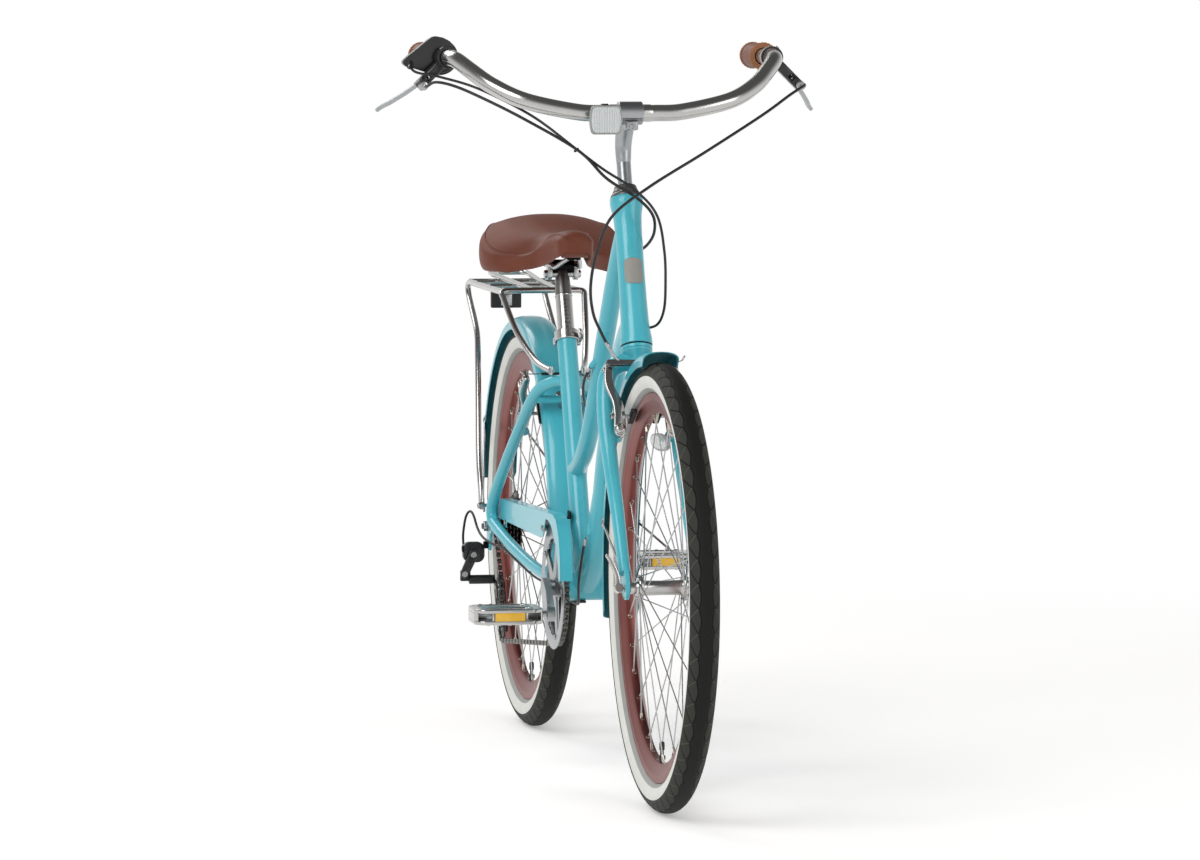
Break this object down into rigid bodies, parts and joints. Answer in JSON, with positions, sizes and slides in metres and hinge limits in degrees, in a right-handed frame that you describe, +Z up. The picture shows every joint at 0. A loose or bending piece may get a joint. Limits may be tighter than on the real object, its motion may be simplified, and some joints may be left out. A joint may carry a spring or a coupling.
{
  "type": "step-through hybrid bicycle",
  "caption": "Step-through hybrid bicycle with swept-back bars, fenders, rear rack, rim brakes and a rear derailleur.",
  "frame": {"origin": "centre of the bounding box's bottom face: on the ground, midway between the front tyre's front and the rearmost point of the rear tyre and fender, in the bicycle's plane of symmetry", "axes": "+X forward, +Y to the rider's left, +Z up"},
  "size_m": [1.7812, 0.688, 1.1335],
  "materials": {
    "turquoise_paint": "glossy turquoise paint over steel and aluminium",
    "alloy": "polished",
    "dark_alloy": "dark zinc plate",
    "stainless": "bright drawn",
    "black_steel": "satin black over steel",
    "black_plastic": "moulded",
    "tyre_rubber": "moulded tread, pale sidewall",
    "rose_rim": "rose-brown anodised",
    "brown_leather": "stitched brown",
    "clear_lens": "prismatic clear",
    "red_lens": "prismatic red",
    "cable_housing": "satin sleeve"
  },
  "bodies": {
    "root": {"frame": "turquoise_paint", "headset_upper_cup": "dark_alloy", "headset_lower_cup": "dark_alloy", "bottom_bracket": "black_steel", "seat_collar": "alloy", "rear_fender": "turquoise_paint", "rear_rack": "alloy", "rear_reflector": "red_lens", "chain_guard": "turquoise_paint", "rear_axle": "alloy", "chain": "black_steel", "shift_cable_rear": "cable_housing", "rear_brake_cable_rear": "cable_housing", "derailleur_knuckle": "black_plastic"},
    "steering": {"fork": "turquoise_paint", "headset_top_cone": "dark_alloy", "stem": "alloy", "handlebar": "alloy", "left_grip": "brown_leather", "right_grip": "brown_leather", "left_lever_bracket": "black_steel", "right_lever_bracket": "black_steel", "shifter_housing": "black_plastic", "front_reflector": "clear_lens", "front_axle": "alloy", "front_fender": "turquoise_paint", "front_brake_cable": "cable_housing", "rear_brake_cable_front": "cable_housing", "shift_cable_front": "cable_housing"},
    "front_wheel": {"front_tyre": "tyre_rubber", "front_rim": "rose_rim", "front_hub_and_spokes": "stainless", "wheel_reflector": "clear_lens"},
    "rear_wheel": {"rear_tyre": "tyre_rubber", "rear_rim": "rose_rim", "rear_hub_and_spokes": "stainless"},
    "freewheel": {"freewheel": "dark_alloy"},
    "crank": {"chainring": "alloy", "right_crank": "alloy", "left_crank": "alloy"},
    "right_pedal": {"right_pedal": "alloy"},
    "left_pedal": {"left_pedal": "alloy"},
    "left_lever": {"left_brake_lever": "alloy"},
    "right_lever": {"right_brake_lever": "alloy"},
    "front_left_arm": {"front_left_brake_arm": "black_steel"},
    "front_right_arm": {"front_right_brake_arm": "black_steel"},
    "rear_left_arm": {"rear_left_brake_arm": "black_steel"},
    "rear_right_arm": {"rear_right_brake_arm": "black_steel"},
    "shifter": {"shifter_grip": "black_plastic"},
    "derailleur_link": {"derailleur_link": "black_steel"},
    "derailleur_lower": {"derailleur_lower_knuckle": "black_plastic"},
    "cage": {"derailleur_cage": "black_steel"},
    "lower_pulley": {"lower_pulley": "black_plastic"},
    "upper_pulley": {"upper_pulley": "black_plastic"},
    "seat_height": {"seatpost": "alloy", "saddle_rails": "black_steel", "saddle": "brown_leather"},
    "seat_lever": {"seat_quick_release_lever": "alloy"},
    "front_quick_release": {"front_quick_release_lever": "alloy"}
  },
  "joints": [
    {"name": "steering_turn", "type": "hinge", "parent": "root", "child": "steering", "pos_m": [0.3616, 0, 0.674], "axis": [-0.3535, 0, 0.9354], "range_deg": [-45, 45], "deforming": ["rear_brake_cable_front", "shift_cable_front"]},
    {"name": "front_wheel_spin", "type": "hinge", "parent": "steering", "child": "front_wheel", "pos_m": [0.5606, 0, 0.33], "axis": [0, 1, 0], "continuous": true},
    {"name": "rear_wheel_spin", "type": "hinge", "parent": "root", "child": "rear_wheel", "pos_m": [-0.5494, 0, 0.33], "axis": [0, 1, 0], "continuous": true},
    {"name": "crank_spin", "type": "hinge", "parent": "root", "child": "crank", "pos_m": [-0.0624, 0, 0.274], "axis": [0, 1, 0], "continuous": true, "deforming": ["chain"]},
    {"name": "freewheel_spin", "type": "hinge", "parent": "root", "child": "freewheel", "pos_m": [-0.5494, 0, 0.33], "axis": [0, 1, 0], "continuous": true},
    {"name": "right_pedal_spin", "type": "hinge", "parent": "crank", "child": "right_pedal", "pos_m": [0.10578, -0.155, 0.24917], "axis": [0, 1, 0], "continuous": true},
    {"name": "left_pedal_spin", "type": "hinge", "parent": "crank", "child": "left_pedal", "pos_m": [-0.23058, 0.155, 0.29883], "axis": [0, 1, 0], "continuous": true},
    {"name": "left_lever_pull", "type": "hinge", "parent": "steering", "child": "left_lever", "pos_m": [0.14406, 0.284, 1.07012], "axis": [0.0496, 0.7062, 0.7062], "range_deg": [0, 20], "stiffness_Nm_per_rad": 1.2},
    {"name": "right_lever_pull", "type": "hinge", "parent": "steering", "child": "right_lever", "pos_m": [0.14406, -0.284, 1.07012], "axis": [-0.0496, 0.7062, -0.7062], "range_deg": [0, 20], "stiffness_Nm_per_rad": 1.2},
    {"name": "front_left_arm_swing", "type": "hinge", "parent": "steering", "child": "front_left_arm", "pos_m": [0.43892, 0.04, 0.55353], "axis": [0.8783, 0, 0.4781], "range_deg": [0, 2.8], "stiffness_Nm_per_rad": 0.8},
    {"name": "front_right_arm_swing", "type": "hinge", "parent": "steering", "child": "front_right_arm", "pos_m": [0.43892, -0.04, 0.55353], "axis": [-0.8783, 0, -0.4781], "range_deg": [0, 2.8], "stiffness_Nm_per_rad": 0.8},
    {"name": "rear_left_arm_swing", "type": "hinge", "parent": "root", "child": "rear_left_arm", "pos_m": [-0.37092, 0.045, 0.51143], "axis": [0.7129, 0, -0.7013], "range_deg": [0, 2.8], "stiffness_Nm_per_rad": 0.8},
    {"name": "rear_right_arm_swing", "type": "hinge", "parent": "root", "child": "rear_right_arm", "pos_m": [-0.37092, -0.045, 0.51143], "axis": [-0.7129, 0, 0.7013], "range_deg": [0, 2.8], "stiffness_Nm_per_rad": 0.8},
    {"name": "shifter_twist", "type": "hinge", "parent": "steering", "child": "shifter", "pos_m": [0.0906, -0.25453, 1.10334], "axis": [-0.9983, -0.0573, 0.0128], "range_deg": [0, 150]},
    {"name": "derailleur_link_swing", "type": "hinge", "parent": "root", "child": "derailleur_link", "pos_m": [-0.5454, -0.098, 0.284], "axis": [1, 0, 0], "range_deg": [0, 50]},
    {"name": "derailleur_lower_swing", "type": "hinge", "parent": "derailleur_link", "child": "derailleur_lower", "pos_m": [-0.5454, -0.11279, 0.25228], "axis": [1, 0, 0], "range_deg": [-50, 0]},
    {"name": "cage_swing", "type": "hinge", "parent": "derailleur_lower", "child": "cage", "pos_m": [-0.5514, -0.056, 0.242], "axis": [0, 1, 0], "range_deg": [-10, 25], "stiffness_Nm_per_rad": 0.5, "deforming": ["chain"]},
    {"name": "lower_pulley_spin", "type": "hinge", "parent": "cage", "child": "lower_pulley", "pos_m": [-0.50349, -0.056, 0.1677], "axis": [0, 1, 0], "continuous": true},
    {"name": "upper_pulley_spin", "type": "hinge", "parent": "cage", "child": "upper_pulley", "pos_m": [-0.5354, -0.056, 0.23], "axis": [0, 1, 0], "continuous": true},
    {"name": "front_quick_release_turn", "type": "hinge", "parent": "steering", "child": "front_quick_release", "pos_m": [0.5606, -0.0645, 0.33], "axis": [0.9701, 0, 0.2425], "range_deg": [0, 150]},
    {"name": "seat_height_slide", "type": "slide", "parent": "root", "child": "seat_height", "axis": [-0.3872, 0, 0.922], "range_m": [-0.045, 0.06]},
    {"name": "seat_lever_turn", "type": "hinge", "parent": "root", "child": "seat_lever", "pos_m": [-0.246, 0.02, 0.64917], "axis": [-0.3872, 0, 0.922], "range_deg": [0, 120]}
  ],
  "couplings": [
    {"joint": "freewheel_spin", "follows": "crank_spin", "ratio": 3.1429},
    {"joint": "lower_pulley_spin", "follows": "crank_spin", "ratio": 4},
    {"joint": "upper_pulley_spin", "follows": "crank_spin", "ratio": -4},
    {"joint": "front_left_arm_swing", "follows": "left_lever_pull", "ratio": 0.14},
    {"joint": "front_right_arm_swing", "follows": "left_lever_pull", "ratio": 0.14},
    {"joint": "rear_left_arm_swing", "follows": "right_lever_pull", "ratio": 0.14},
    {"joint": "rear_right_arm_swing", "follows": "right_lever_pull", "ratio": 0.14},
    {"joint": "derailleur_link_swing", "follows": "shifter_twist", "ratio": 0.33333},
    {"joint": "derailleur_lower_swing", "follows": "shifter_twist", "ratio": -0.33333}
  ]
}
